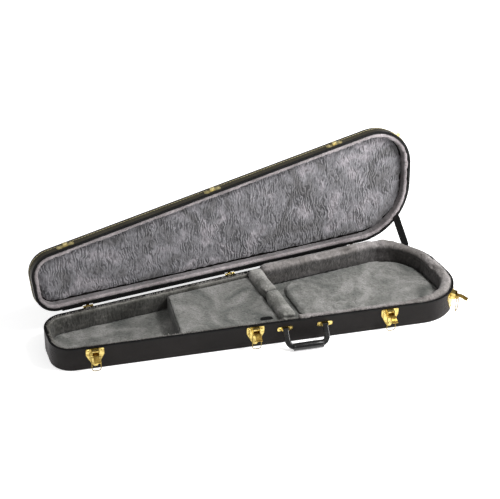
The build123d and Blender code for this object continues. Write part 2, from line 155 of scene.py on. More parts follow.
def stretch(tree, place, scale):
    """The same coordinates with their axes scaled, for patterns that run one way."""
    mapping = tree.nodes.new("ShaderNodeMapping")
    mapping.inputs["Scale"].default_value = scale
    tree.links.new(place, mapping.inputs["Vector"])
    return mapping.outputs["Vector"]


def noise(tree, place, scale, detail=4.0, distortion=0.0):
    """A cloudy pattern between 0 and 1, mostly near the middle."""
    node = tree.nodes.new("ShaderNodeTexNoise")
    node.inputs["Scale"].default_value = scale
    node.inputs["Detail"].default_value = detail
    node.inputs["Distortion"].default_value = distortion
    tree.links.new(place, node.inputs["Vector"])
    return node.outputs["Fac"]


def cells(tree, place, scale):
    """Cells like leather grain: 0 on their borders, rising towards their middles."""
    node = tree.nodes.new("ShaderNodeTexVoronoi")
    node.feature = "DISTANCE_TO_EDGE"
    node.inputs["Scale"].default_value = scale
    tree.links.new(place, node.inputs["Vector"])
    return node.outputs["Distance"]


def waves(tree, place, scale, distortion):
    """Broken bands across X, 0.31 m divided by the scale apart."""
    bands = tree.nodes.new("ShaderNodeTexWave")
    bands.inputs["Scale"].default_value = scale
    bands.inputs["Distortion"].default_value = distortion
    bands.inputs["Detail"].default_value = 3.0
    bands.inputs["Detail Scale"].default_value = 0.8
    bands.inputs["Detail Roughness"].default_value = 0.6
    tree.links.new(place, bands.inputs["Vector"])
    return bands.outputs["Fac"]


def ramp(tree, value, stops):
    """Colours, or greys, that follow a pattern's value: stops are (value, colour)."""
    node = tree.nodes.new("ShaderNodeValToRGB")
    edge = node.color_ramp.elements
    for number, (position, colour) in enumerate(stops):
        stop = edge[number] if number < 2 else edge.new(position)
        stop.position = position
        shade = colour if hasattr(colour, "__len__") else (colour, colour, colour)
        stop.color = (*shade, 1.0)
    tree.links.new(value, node.inputs["Fac"])
    return node.outputs["Color"]


def blend_colours(tree, first, second, amount, way="MIX"):
    """Two colours mixed by a number or by a pattern."""
    node = tree.nodes.new("ShaderNodeMix")
    node.data_type = "RGBA"
    node.blend_type = way
    node.inputs["Factor"].default_value = amount if isinstance(amount, float) else 0.5
    if not isinstance(amount, float):
        tree.links.new(amount, node.inputs["Factor"])
    tree.links.new(first, node.inputs["A"])
    tree.links.new(second, node.inputs["B"])
    return node.outputs["Result"]


def bumps(tree, height, strength, distance, below=None):
    """A bump from a pattern, on top of another bump where one is given."""
    node = tree.nodes.new("ShaderNodeBump")
    node.inputs["Strength"].default_value = strength
    node.inputs["Distance"].default_value = distance
    tree.links.new(height, node.inputs["Height"])
    if below is not None:
        tree.links.new(below, node.inputs["Normal"])
    return node.outputs["Normal"]


print("material helpers ready")

# %% [markdown]
# ## Vinyl
# The shell is plywood under black coated cloth with a fine leather grain. Cells about 1.3 mm
# across give the grain's creases, and a finer noise its pores. The roughness wanders a little,
# because handling polishes some of it, and slow colour changes keep the large panels from
# looking printed. The same recipe with other colours makes the bindings, and the olive grey of
# the lid's wall and edge band, which is a painted reflection of the light from above.


# %% Vinyl materials
def vinyl(name, dark, light, shine, grain):
    """Coated cloth between two colours, with a mean roughness and the scale of its grain."""
    material, tree, shader, place = start_material(name)
    crease = cells(tree, place, grain)
    pores = noise(tree, place, grain * 3.1)
    patches = noise(tree, place, 9.0, 5.0)
    base = ramp(tree, patches, [(0.35, dark), (0.65, light)])
    # The colour is darker in the grain's creases, down to 0.72 of itself.
    crease_darkening = ramp(tree, crease, [(0.0, 0.72), (0.12, 1.0)])
    tree.links.new(blend_colours(tree, base, crease_darkening, 0.6, "MULTIPLY"), shader.inputs["Base Color"])
    rough = ramp(tree, noise(tree, place, 26.0, 6.0), [(0.3, shine - 0.05), (0.7, shine + 0.08)])
    tree.links.new(rough, shader.inputs["Roughness"])
    pitted = bumps(tree, pores, 0.25, 0.0002)
    creased = ramp(tree, crease, [(0.0, 0.0), (0.25, 1.0)])
    tree.links.new(bumps(tree, creased, 0.45, 0.00025, pitted), shader.inputs["Normal"])
    shader.inputs["Specular IOR Level"].default_value = 0.12
    shader.inputs["Sheen Weight"].default_value = 0.10
    shader.inputs["Sheen Roughness"].default_value = 0.3
    shader.inputs["Sheen Tint"].default_value = (1.0, 0.78, 0.88, 1.0)
    return material


BLACK_VINYL = vinyl("black_vinyl", (0.007, 0.0058, 0.0052), (0.012, 0.0098, 0.0092), 0.42, 780.0)
# An olive copy of the black vinyl for the lid's wall and edge band: the olive is a painted
# reflection of the light from above.
PAINTED_REFLECTION_VINYL = vinyl("painted_reflection_vinyl", (0.040, 0.037, 0.025), (0.066, 0.061, 0.042), 0.46, 780.0)
BINDING_VINYL = vinyl("binding_vinyl", (0.004, 0.004, 0.004), (0.008, 0.008, 0.008), 0.36, 1100.0)
print("vinyl:", BLACK_VINYL.name, PAINTED_REFLECTION_VINYL.name, BINDING_VINYL.name)

# %% [markdown]
# ## Plush
# The lining is a knitted plush with a pile of 3 to 4 mm. The pile leans in soft clumps, each a
# little lighter or darker than the next, and single fibres show as a fine streaky noise. The
# sheen stands for light that catches the fibre ends at a low angle. Painted shade darkens the
# hollows of the pile's ripples and the faces at right angles to the open side. Real hairs
# would make the model far too heavy, so the pile is colour, sheen and two sizes of bump on a
# modelled relief.


# %% Plush materials
def facing(tree, direction):
    """1 where the pile faces a direction, 0 where it stands at right angles to it."""
    own = tree.nodes.new("ShaderNodeTexCoord")
    share = tree.nodes.new("ShaderNodeVectorMath")
    share.operation = "DOT_PRODUCT"
    share.inputs[1].default_value = direction
    tree.links.new(own.outputs["Normal"], share.inputs[0])
    return share.outputs["Value"]


def plush(name, shadow, middle, light, open_side, sides, streaks=(1.0, 1.0, 1.0),
          ripple=(95.0, 0.0018, 0.65), bands=0.0):
    """Pile that leans in ripples: three colours, its open side, the grey of the painted shade on
    faces at right angles to that, the way it is brushed, its ripples' scale, depth and the grey
    of the painted shade in their hollows, and the scale of the bands it lies in here and there."""
    material, tree, shader, place = start_material(name)
    run = stretch(tree, place, streaks)
    scale, depth, shade = ripple
    areas = noise(tree, place, 8.0, 3.0, 1.6)
    ripples = noise(tree, run, scale, 1.5, 1.3)
    if bands:
        patches = ramp(tree, noise(tree, place, 22.0, 2.0, 1.0), [(0.43, 0.0), (0.63, 0.9)])
        ripples = blend_colours(tree, ripples, waves(tree, run, bands, 21.0), patches)
    tufts = noise(tree, run, 260.0, 3.0, 0.8)
    fibres = noise(tree, run, 700.0, 2.0, 0.4)
    colour = ramp(tree, areas, [(0.36, shadow), (0.50, middle), (0.64, light)])
    # Painted shade in the ripples' hollows: where the ripple pattern is low, the colour is darkened
    # to `shade`.
    painted_ripple_shade = ramp(tree, ripples, [(0.30, shade), (0.47, 0.90), (0.62, 1.0)])
    speckle = ramp(tree, tufts, [(0.30, 0.62), (0.62, 1.0)])
    # Painted shade on the sides: faces at right angles to the open side are darkened to `sides`.
    painted_side_shade = ramp(tree, facing(tree, open_side), [(0.0, sides), (0.75, 1.0)])
    colour = blend_colours(tree, colour, painted_ripple_shade, 0.85, "MULTIPLY")
    colour = blend_colours(tree, colour, speckle, 0.8, "MULTIPLY")
    colour = blend_colours(tree, colour, painted_side_shade, 1.0, "MULTIPLY")
    tree.links.new(colour, shader.inputs["Base Color"])
    lean = bumps(tree, ripples, 1.0, depth)
    lean = bumps(tree, tufts, 0.7, 0.0016, lean)
    tree.links.new(bumps(tree, fibres, 0.5, 0.0006, lean), shader.inputs["Normal"])
    shader.inputs["Roughness"].default_value = 0.95
    shader.inputs["Specular IOR Level"].default_value = 0.05
    shader.inputs["Sheen Weight"].default_value = 0.25
    shader.inputs["Sheen Roughness"].default_value = 0.5
    return material


UP = (0.0, 0.0, 1.0)
OUT_OF_LID = (0.0, -0.990, 0.139)

BASE_PLUSH = plush(
    "base_plush", (0.135, 0.14, 0.13), (0.23, 0.23, 0.215), (0.33, 0.325, 0.31), UP, 0.45
)
WALL_PLUSH = plush(
    "wall_plush", (0.19, 0.175, 0.165), (0.28, 0.26, 0.25), (0.36, 0.335, 0.33), UP, 0.38,
    (1.0, 1.0, 0.4)
)
# The neck end's plush: its own brownish grey, painted darker for the shade in its narrow, deep
# compartment.
NECK_PILE_PAINTED_SHADE = plush(
    "neck_pile_painted_shade", (0.12, 0.115, 0.10), (0.20, 0.195, 0.175), (0.30, 0.29, 0.265), UP, 0.33,
    (1.0, 1.0, 0.3)
)
LID_PLUSH = plush(
    "lid_plush", (0.155, 0.15, 0.155), (0.235, 0.23, 0.245), (0.34, 0.32, 0.34), OUT_OF_LID, 0.5,
    (1.0, 1.0, 0.5), (70.0, 0.0035, 0.45), 32.0
)
# A lighter copy of the lid's plush for its lip: painted light where the rounded lip catches the
# light.
LIP_PILE_PAINTED_LIGHT = plush(
    "lip_pile_painted_light", (0.28, 0.25, 0.255), (0.38, 0.345, 0.35), (0.48, 0.435, 0.445), OUT_OF_LID, 0.50
)
# A lighter copy of the base plush for the neck bolsters: painted light on their raised tops, with
# less painted shade on their sides.
ROLL_PILE_PAINTED_LIGHT = plush(
    "roll_pile_painted_light", (0.21, 0.21, 0.19), (0.31, 0.305, 0.285), (0.40, 0.39, 0.37), UP, 0.60
)
# A lighter copy of the base plush for the rim's tufts: painted light on the fluffy lip along the
# rim.
FRINGE_PILE_PAINTED_LIGHT = plush(
    "fringe_pile_painted_light", (0.24, 0.225, 0.205), (0.36, 0.34, 0.32), (0.48, 0.46, 0.44), UP, 0.75
)
print("plush:", BASE_PLUSH.name, WALL_PLUSH.name, NECK_PILE_PAINTED_SHADE.name, LID_PLUSH.name)

# %% [markdown]
# ## Brass, black plastic, thread and webbing
# The hardware is brass-plated steel: warm, quite polished, with fine brushed lines from
# handling and duller spots where fingers touch it. The handle is a glossy black moulding.
# The stitches are waxed gold thread with a twist, and the strap is a dense black weave.


# %% Brass
def brass(name, deep, bright, shine):
    """Plated metal between two colours, with the roughness of its polished spots."""
    material, tree, shader, place = start_material(name)
    dull = noise(tree, place, 95.0, 5.0, 0.4)
    brushed = noise(tree, stretch(tree, place, (1.0, 1.0, 9.0)), 420.0, 3.0)
    tree.links.new(ramp(tree, dull, [(0.3, deep), (0.6, bright)]), shader.inputs["Base Color"])
    rough = ramp(tree, dull, [(0.3, shine + 0.14), (0.7, shine)])
    tree.links.new(rough, shader.inputs["Roughness"])
    tree.links.new(bumps(tree, brushed, 0.12, 0.0003), shader.inputs["Normal"])
    shader.inputs["Metallic"].default_value = 1.0
    return material


BRASS = brass("polished_brass", (0.30, 0.20, 0.05), (0.72, 0.57, 0.20), 0.13)
# A darker, more orange copy of the brass for the latch levers.
LEVER_BRASS = brass("lever_brass", (0.28, 0.16, 0.03), (0.70, 0.48, 0.12), 0.16)
CATCH_BRASS = brass("catch_brass", (0.52, 0.42, 0.17), (0.86, 0.75, 0.40), 0.42)
# The bails' wire: a much darker copy of the brass, painted shade against the white floor's bright
# reflection.
BAIL_BRASS_PAINTED_DARK = brass("bail_brass_painted_dark", (0.10, 0.07, 0.015), (0.30, 0.22, 0.06), 0.25)
print("brass:", BRASS.name, LEVER_BRASS.name, CATCH_BRASS.name, BAIL_BRASS_PAINTED_DARK.name)


# %% Black plastic, thread and webbing
def moulded(name, colour, shine):
    """Glossy moulded plastic with a little dust, of one colour and a mean roughness."""
    material, tree, shader, place = start_material(name)
    dust = noise(tree, place, 60.0, 6.0)
    dark = [part * 0.7 for part in colour]
    tree.links.new(ramp(tree, dust, [(0.35, dark), (0.7, colour)]), shader.inputs["Base Color"])
    rough = ramp(tree, dust, [(0.3, shine - 0.06), (0.75, shine + 0.1)])
    tree.links.new(rough, shader.inputs["Roughness"])
    skin = noise(tree, place, 900.0, 2.0)
    tree.links.new(bumps(tree, skin, 0.08, 0.0003), shader.inputs["Normal"])
    return material


def woven(name, dark, light, across, along):
    """Plain weave on the piece's own UV map: a set of waves for each set of threads."""
    material, tree, shader, place = start_material(name, "UV")
    sets = []
    for direction, scale in (("X", across), ("Y", along)):
        wave = tree.nodes.new("ShaderNodeTexWave")
        wave.bands_direction = direction
        wave.inputs["Scale"].default_value = scale
        wave.inputs["Distortion"].default_value = 0.6
        wave.inputs["Detail"].default_value = 1.0
        tree.links.new(place, wave.inputs["Vector"])
        sets.append(wave.outputs["Color"])
    threads = blend_colours(tree, *sets, 0.5, "MULTIPLY")
    tree.links.new(ramp(tree, threads, [(0.0, dark), (0.8, light)]), shader.inputs["Base Color"])
    tree.links.new(bumps(tree, threads, 0.7, 0.0006), shader.inputs["Normal"])
    shader.inputs["Roughness"].default_value = 0.8
    shader.inputs["Specular IOR Level"].default_value = 0.15
    return material


HANDLE_BLACK = moulded("handle_black", (0.009, 0.009, 0.009), 0.24)
GOLD_THREAD = brass("gold_thread", (0.42, 0.34, 0.16), (0.66, 0.58, 0.34), 0.5)
GOLD_THREAD.node_tree.nodes["Principled BSDF"].inputs["Metallic"].default_value = 0.0
WEBBING = woven("black_webbing", (0.004, 0.004, 0.004), (0.015, 0.015, 0.015), 2.6, 20.0)
print("handle, thread and strap:", HANDLE_BLACK.name, GOLD_THREAD.name, WEBBING.name)

# %% [markdown]
# ## Floor finish
# The floor is matt white with a faint unevenness, so that it reads as a studio sheet and the
# case's shadow falls on something real.

# %% Floor material
FLOOR_WHITE, tree, shader, place = start_material("floor_white")
paper = noise(tree, place, 3.0, 5.0)
tree.links.new(ramp(tree, paper, [(0.3, 0.93), (0.7, 0.96)]), shader.inputs["Base Color"])
shader.inputs["Emission Color"].default_value = (1.0, 1.0, 1.0, 1.0)
shader.inputs["Emission Strength"].default_value = 0.62
shader.inputs["Roughness"].default_value = 0.9
floor.data.materials.append(FLOOR_WHITE)
print("floor material", FLOOR_WHITE.name)

# %% [markdown]
# ## Parts that keep their CAD shape
# The shell's walls and panels, the bindings, the hinges and the latches already have their true
# shape in the CAD model, down to the curl of the levers. They only need a finish, so each one
# gets the material of what it is made of.

# %% Dress the CAD nodes
LATCHES = (1, 2, 3, 4)
FINISHES = {
    BLACK_VINYL: ["base_wall", "base_bottom", "lid_panel"],
    BINDING_VINYL: ["base_rim_binding", "lid_rim_binding"],
    # Painted reflection: the lid's wall and edge band are black vinyl painted olive grey.
    PAINTED_REFLECTION_VINYL: ["lid_wall", "lid_edge_band"],
    HANDLE_BLACK: ["handle_bow", "handle_grip", "box_lid_tab"],
    LEVER_BRASS: [f"latch_lever_{number}" for number in LATCHES],
    CATCH_BRASS: [f"lid_catch_{number}" for number in LATCHES] + ["catch_rivets"],
    BAIL_BRASS_PAINTED_DARK: [f"latch_bail_{number}" for number in LATCHES],
}


def dress(node, material):
    """Give a CAD node one material on all its faces."""
    for slot in frame["nodes"][node].material_slots:
        slot.link = "OBJECT"
        slot.material = material


dressed = dict.fromkeys(frame["nodes"], BRASS)
for material, nodes in FINISHES.items():
    dressed.update(dict.fromkeys(nodes, material))
for node, material in dressed.items():
    dress(node, material)
print(len(dressed), "CAD nodes dressed")

# %% [markdown]
# ## Making a padded piece
# Each pad starts as a copy of the solid that holds its place in the CAD model. The copy is
# rebuilt as an even net of small faces. A cushion is then shrunk a little and blown up by the
# cloth simulation, which rounds its edges, crowns its faces and wrinkles it where it is short
# of room. Every point is stopped a few millimetres from where it was, so that the cushion
# stays in its place. A thin lining that is glued to a board skips this. After that comes the
# pile: a displacement with soft clumps, which a flat bump can't give, because it shows at the
# edges too.


# %% Padding helpers
def work_on(piece):
    """Select only this piece and make it active."""
    if bpy.context.mode != "OBJECT":
        bpy.ops.object.mode_set(mode="OBJECT")
    bpy.ops.object.select_all(action="DESELECT")
    piece.select_set(True)
    bpy.context.view_layer.objects.active = piece


def pick(piece, kind, wanted):
    """Enter edit mode with only the wanted faces (FACE) or points (VERT) selected."""
    work_on(piece)
    bpy.ops.object.mode_set(mode="EDIT")
    bpy.ops.mesh.select_mode(type=kind)
    bpy.ops.mesh.select_all(action="DESELECT")
    bpy.ops.object.mode_set(mode="OBJECT")
    for part in piece.data.polygons if kind == "FACE" else piece.data.vertices:
        part.select = wanted(part)
    bpy.ops.object.mode_set(mode="EDIT")


def apply_modifiers(piece):
    """Make a piece's modifiers part of its mesh, in their order."""
    work_on(piece)
    for modifier in list(piece.modifiers):
        bpy.ops.object.modifier_apply(modifier=modifier.name)


def soft_copy(node, name):
    """A CAD node's mesh as a new piece, merged into one closed skin."""
    piece = bpy.data.objects.new(name, frame["nodes"][node].data.copy())
    bpy.context.collection.objects.link(piece)
    piece.data.materials.clear()
    work_on(piece)
    bpy.ops.object.mode_set(mode="EDIT")
    bpy.ops.mesh.select_all(action="SELECT")
    bpy.ops.mesh.remove_doubles(threshold=0.00001)
    bpy.ops.object.mode_set(mode="OBJECT")
    return piece


def even_net(piece, size):
    """Rebuild a piece as one closed net of nearly square faces of one size."""
    remesh = piece.modifiers.new("net", "REMESH")
    remesh.mode = "VOXEL"
    remesh.voxel_size = size
    remesh.use_smooth_shade = True
    apply_modifiers(piece)


print("padding helpers ready")


# %% Swelling, smoothing and pile
PRESSURE = 4.0
SWELLING_FRAMES = 16


def shrink(piece, depth):
    """Draw a piece's whole skin in by a depth."""
    work_on(piece)
    bpy.ops.object.mode_set(mode="EDIT")
    bpy.ops.mesh.select_all(action="SELECT")
    bpy.ops.mesh.normals_make_consistent(inside=False)
    bpy.ops.transform.shrink_fatten(value=-depth)
    bpy.ops.object.mode_set(mode="OBJECT")


def swell(piece, cap):
    """Blow a piece up like a cushion, with each point stopped `cap` metres from its start."""
    start = [vertex.co.copy() for vertex in piece.data.vertices]
    cloth = piece.modifiers.new("cloth", "CLOTH")
    cloth.settings.quality = 5
    cloth.settings.use_pressure = True
    cloth.settings.uniform_pressure_force = PRESSURE
    cloth.settings.effector_weights.gravity = 0.0
    cloth.point_cache.frame_end = SWELLING_FRAMES
    for number in range(1, SWELLING_FRAMES + 1):
        bpy.context.scene.frame_set(number)
    apply_modifiers(piece)
    for vertex, was in zip(piece.data.vertices, start):
        move = vertex.co - was
        if move.length > cap:
            vertex.co = was + move * (cap / move.length)
    bpy.context.scene.frame_set(1)


def soften(piece, times=3):
    """Even out sharp places by moving each point halfway to its neighbours, a few times."""
    smooth = piece.modifiers.new("soften", "SMOOTH")
    smooth.factor = 0.5
    smooth.iterations = times
    apply_modifiers(piece)


def refine(piece, levels):
    """Subdivide a piece into a finer and rounder net."""
    finer = piece.modifiers.new("finer", "SUBSURF")
    finer.levels = levels
    finer.render_levels = levels
    apply_modifiers(piece)


FOLDS, CLUMPS = (1.0, 1.0), (0.3, 0.7)    # shares of a relief's size and height


def relief(piece, size, height):
    """Soft folds `size` across and `height` high, with smaller clumps of pile on them."""
    for share_size, share_height in (FOLDS, CLUMPS):
        clumps = bpy.data.textures.new(piece.name + "_clumps", "CLOUDS")
        clumps.noise_scale = size * share_size
        clumps.noise_depth = 2
        displace = piece.modifiers.new("relief", "DISPLACE")
        displace.texture = clumps
        displace.texture_coords = "LOCAL"
        displace.strength = height * share_height
        displace.mid_level = 0.5
        apply_modifiers(piece)


def finish(piece, body, material, slot, *nodes):
    """Smooth shading, a material, the body it rides on, if any, and what it stands for."""
    work_on(piece)
    bpy.ops.object.shade_smooth()
    piece.data.materials.clear()
    piece.data.materials.append(material)
    if body:
        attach(piece, body)
    if nodes:
        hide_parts(*nodes)
    return piece


print("swelling and pile ready")

# %% [markdown]
# ## Forms that swelling doesn't give
# The roll on the base's walls is wider than the wall under it and rises at the back. The lid's
# pad fills its frame, and the lid's lip stands over the binding. Each of these is a choice of
# faces or points that is pushed out along its normals, or lifted.


# %% Rolls, frame and lip
RIM_HEIGHT = 0.070
ROLL_START = RIM_HEIGHT - 0.004
BODY_MIDDLE = 0.3                       # the wide part's middle along X
BACK_STARTS = (0.110, 0.128, 0.142)     # each of these lines along X starts one more step up
BACK_STEP = 0.003
FRAME_OVERLAP = 0.004
LIP_DEPTH = 0.005
LIP_RISE = 0.0025


def push_out(piece, kind, wanted, depth):
    """Move the wanted faces or points along their normals."""
    pick(piece, kind, wanted)
    bpy.ops.transform.shrink_fatten(value=depth)
    bpy.ops.object.mode_set(mode="OBJECT")


def widen_roll(piece, depth):
    """Move the roll's outer side, the upright faces above the rim that look away, outwards."""
    def outer_side(face):
        away = Vector((face.center.x - BODY_MIDDLE, face.center.y * 2.0, 0.0))
        upright = abs(face.normal.z) < 0.1
        return upright and face.center.z > RIM_HEIGHT and face.normal.dot(away) > 0.0

    push_out(piece, "FACE", outer_side, depth)


def raise_back(piece):
    """Raise the roll in three steps towards the back wall, where it stands in the lid's way."""
    for start in BACK_STARTS:
        pick(piece, "VERT", lambda vertex: vertex.co.z > RIM_HEIGHT and vertex.co.y > start)
        bpy.ops.transform.translate(value=(0.0, 0.0, BACK_STEP))
        bpy.ops.object.mode_set(mode="OBJECT")


def fill_frame(piece):
    """Push a lid pad's narrow sides outwards, until they press on the lining round it."""
    out = Vector(OUT_OF_LID)
    push_out(piece, "FACE", lambda face: abs(face.normal.dot(out)) < 0.7, FRAME_OVERLAP)


def raise_lip(piece):
    """Push out the pile next to the lid's rim, so that it stands over the binding."""
    out = Vector(OUT_OF_LID)
    rim = max(vertex.co.dot(out) for vertex in piece.data.vertices)
    push_out(piece, "VERT", lambda vertex: vertex.co.dot(out) > rim - LIP_DEPTH, LIP_RISE)


print("roll, frame and lip ready")


def pad(node, name, body, material, net=0.005, cap=0.005, inset=0.003, clump=0.028,
        height=0.003, levels=1, loft=0.0, shape=None):
    """A plush pad in a CAD solid's place. It swells by `cap`, and by `loft` above the rim, and
    `shape` is a function that gives it its last form."""
    piece = soft_copy(node, name)
    if loft:
        widen_roll(piece, loft)
    even_net(piece, net)
    if cap:
        shrink(piece, inset)
        swell(piece, cap)
    if loft:
        push_out(piece, "VERT", lambda vertex: vertex.co.z > ROLL_START, loft)
        soften(piece)
    if shape:
        shape(piece)
    soften(piece)
    if levels:
        refine(piece, levels)
    relief(piece, clump, height)
    finish(piece, body, material, "grey_plush", node)
    print(name, len(piece.data.polygons), "faces")
    return piece


print("pad ready")

# %% [markdown]
# ## The base's padding
# The wide end has thick walls round the guitar's body, which roll over the rim. Two bolsters
# carry the neck, and a floor pad with a rounded corner lies on the floor foam. Walls, bolsters
# and floor pad are real cushions, so they are blown up. The floor foam is a flat board, and the
# neck end has only a thin lining that hugs the plywood, so these get their pile and no more.


def pressed_by_lid(piece):
    """Give a piece that stands above the rim, in the closing lid's way, its own copy of its mesh."""
    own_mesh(piece)


walls = pad("body_wall_padding", "body_wall_plush", "base", WALL_PLUSH, inset=0.0035, cap=0.0045,
            loft=0.0065, shape=raise_back)
pressed_by_lid(walls)
pad("body_floor_pad", "body_floor_plush", "base", BASE_PLUSH, cap=0.006, height=0.005,
    clump=0.05)
pad("body_floor_foam", "body_foam_plush", "base", BASE_PLUSH, net=0.0055, cap=0.0, levels=0)
for side in ("back", "front"):
    bolster = pad(f"neck_bolster_{side}", f"bolster_{side}_plush", "base", ROLL_PILE_PAINTED_LIGHT, net=0.004,
                  cap=0.006, loft=0.003)
    pressed_by_lid(bolster)

# %% Thin linings of the neck end
pad("neck_wall_lining", "neck_wall_plush", "base", NECK_PILE_PAINTED_SHADE, net=0.004, cap=0.0,
    height=0.003)
pad("base_floor_lining", "base_floor_plush", "base", BASE_PLUSH, net=0.004, cap=0.0,
    clump=0.07, height=0.005, levels=0)

# %% [markdown]
# ## The accessory box
# Two thin padded boards close the space off, and a board lid covered in the same plush lies
# on them. The lid has crisper edges than a cushion, so it swells very little.

# %% Partitions and box lid
for side in ("left", "right"):
    pad(f"box_partition_{side}", f"partition_{side}_plush", "base", BASE_PLUSH, net=0.003,
        cap=0.0, height=0.001)
pad("box_lid", "box_lid_plush", "box_lid", BASE_PLUSH, net=0.003, inset=0.0005, cap=0.002,
    height=0.0015)

# %% [markdown]
# ## The lid's lining
# A foam strip runs round inside the lid's wall and makes a rounded lip, and the panel behind
# it has a large soft pad. The pad's pile lies in broken ripples.

# %% Lid padding
pad("lid_wall_lining", "lid_wall_plush", "lid", LIP_PILE_PAINTED_LIGHT, net=0.004, inset=0.0005, cap=0.002,
    height=0.002, shape=raise_lip)
pad("lid_panel_padding", "lid_panel_plush", "lid", LID_PLUSH, net=0.0055, inset=0.0005,
    cap=0.004, clump=0.045, height=0.006, shape=fill_frame)

# %% [markdown]
# ## The plan's outline
# The stitches follow the case's plan, a tapered shape with four round corners. The outline is
# walked corner by corner: each corner gives an arc, the straight runs join them, and places
# are read off at equal distances, each with its outward direction.

# %% Walk the outline
CORNERS = [(-0.572, 0.1695), (0.571, 0.1695), (0.5855, -0.192), (-0.584, 0.005)]
RADII = [0.062, 0.164, 0.118, 0.063]
HINGE = Vector((0.0, 0.1748, 0.070))
LID_OPEN = 98.0
ARC_STEPS = 40
LID_TURN = (
    Matrix.Translation(HINGE) @ Matrix.Rotation(math.radians(-LID_OPEN), 4, "X")
    @ Matrix.Translation(-HINGE)
)


def outline(inset):
    """The plan moved in by inset, as many close points, clockwise seen from above."""
    points = []
    for number, place in enumerate(CORNERS):
        corner = Vector(place)
        before = (Vector(CORNERS[number - 1]) - corner).normalized()
        after = (Vector(CORNERS[(number + 1) % 4]) - corner).normalized()
        half = before.angle(after) / 2
        centre = corner + (before + after).normalized() * RADII[number] / math.sin(half)
        first = Vector((before.y, -before.x))
        last = Vector((-after.y, after.x))
        turn = first.angle(last)
        for step in range(ARC_STEPS + 1):
            angle = -turn * step / ARC_STEPS
            outward = Matrix.Rotation(angle, 2) @ first
            points.append(centre + outward * (RADII[number] - inset))
    return points


def evenly(points, count):
    """`count` places at equal distances round a closed line: (point, direction) pairs."""
    lengths = [(points[(n + 1) % len(points)] - points[n]).length for n in range(len(points))]
    step = sum(lengths) / count
    places, passed, number = [], 0.0, 0
    for turn in range(count):
        while passed + lengths[number] < turn * step:
            passed += lengths[number]
            number += 1
        start, end = points[number], points[(number + 1) % len(points)]
        share = (turn * step - passed) / lengths[number]
        places.append((start.lerp(end, share), (end - start).normalized()))
    return places


whole = outline(0)
print("outline", round(sum((b - a).length for a, b in zip(whole, whole[1:] + whole[:1])), 3), "m")


# %% Copies along the outline
def join_copies(template, places, name):
    """A copy of a small piece at each place, given as a matrix, joined into one piece."""
    copies = []
    for place in places:
        copy = bpy.data.objects.new(name, template.data.copy())
        bpy.context.collection.objects.link(copy)
        copy.data.transform(place)
        copies.append(copy)
    bpy.data.objects.remove(template)
    work_on(copies[0])
    for copy in copies:
        copy.select_set(True)
    bpy.ops.object.join()
    piece = bpy.context.object
    piece.name = name
    return piece


print("copies ready")

# %% [markdown]
# ## The lid's stitching
# One row of gold stitches holds the vinyl's edge strip all round the lid. A stitch is modelled
# once as a short thread with rounded ends, and copied along the outline about every 9 mm. The
# copies are joined into one piece that turns with the lid.

# %% Stitches
STITCH_COUNT = 300
STITCH_LENGTH = 0.0058
STITCH_RADIUS = 0.0007
STITCH_HEIGHT = 0.0925
STITCH_OUT = 0.0010


def stitch():
    """One stitch along X: a short rod whose ends are drawn in and pushed down."""
    bpy.ops.object.select_all(action="DESELECT")
    bpy.ops.mesh.primitive_cylinder_add(
        vertices=8, radius=STITCH_RADIUS, depth=STITCH_LENGTH, rotation=(0.0, math.pi / 2, 0.0)
    )
    bpy.ops.object.transform_apply(location=True, rotation=True, scale=True)
    piece = bpy.context.object
    for side in (-1.0, 1.0):
        pick(piece, "FACE", lambda face: face.normal.x * side > 0.9)
        bpy.ops.mesh.extrude_region_move(
            TRANSFORM_OT_translate={"value": (side * STITCH_RADIUS, STITCH_RADIUS * 0.5, 0.0)}
        )
        bpy.ops.transform.resize(value=(1.0, 0.45, 0.45))
    bpy.ops.object.mode_set(mode="OBJECT")
    return piece


stitch_places = []
for point, run in evenly(outline(-STITCH_OUT), STITCH_COUNT):
    place = Matrix.Translation((point.x, point.y, STITCH_HEIGHT))
    turn = Matrix.Rotation(math.atan2(-run.y, -run.x), 4, "Z")
    stitch_places.append(LID_TURN @ place @ turn)
stitching = join_copies(stitch(), stitch_places, "lid_stitching")
finish(stitching, "lid", GOLD_THREAD, "edge_binding")
print("lid_stitching", STITCH_COUNT, "stitches,", len(stitching.data.polygons), "faces")

# %% [markdown]
# ## The stay strap
# A webbing strap stops the lid falling back. The CAD model has its taut part as a flat bar. The
# real one also has two tails, which run down behind the plush to where they are fixed, so the
# piece is a net of faces that follows four points: anchor, rim, rim, anchor. It has its own UV
# map, so that the weave follows it round its bends.

# %% Strap
STRAP_WIDTH = 0.023
STRAP_THICKNESS = 0.0016
STRAP_ROWS = 64
STRAP_COLUMNS = 6
STRAP_FACE = Vector((0.81, -0.36, 0.46))


def middle_of(node):
    """The middle of a CAD node's box."""
    low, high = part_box(node)
    return (Vector(low) + Vector(high)) / 2


def ends_of_bar(node):
    """The middles of the two ends of a CAD bar that runs mostly along Y, the front end first."""
    places = [vertex.co.copy() for vertex in frame["nodes"][node].data.vertices]
    middle = sum(places, Vector()) / len(places)
    front = [place for place in places if place.y < middle.y]
    rear = [place for place in places if place.y >= middle.y]
    return sum(front, Vector()) / len(front), sum(rear, Vector()) / len(rear)


strap_low, strap_high = ends_of_bar("stay_strap")
strap_route = [
    middle_of("strap_anchor_base"), strap_low, strap_high, middle_of("strap_anchor_lid")
]
print("strap from", strap_low[:], "to", strap_high[:])

